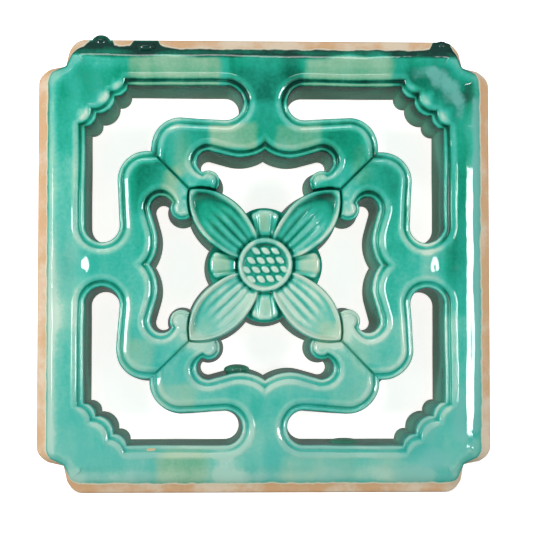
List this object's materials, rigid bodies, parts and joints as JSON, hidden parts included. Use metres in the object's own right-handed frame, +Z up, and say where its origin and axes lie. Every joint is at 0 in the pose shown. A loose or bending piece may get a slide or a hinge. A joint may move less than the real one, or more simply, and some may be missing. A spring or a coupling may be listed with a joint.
{
  "type": "breeze block",
  "caption": "Square glazed ceramic screen-wall block with notched corners, a pierced ring and a petalled flower.",
  "frame": {"origin": "middle of the block's underside, half way through its depth", "axes": "+Z up, the glazed front faces -Y, +X to the right of someone facing the front"},
  "size_m": [0.3, 0.05, 0.3],
  "materials": {
    "glazed_clay": "glossy translucent sea-green glaze that pools dark in grooves and breaks pale on edges, over orange clay that stays bare on the outer sides and back"
  },
  "bodies": {
    "root": {"breeze_block": "glazed_clay"}
  },
  "joints": []
}
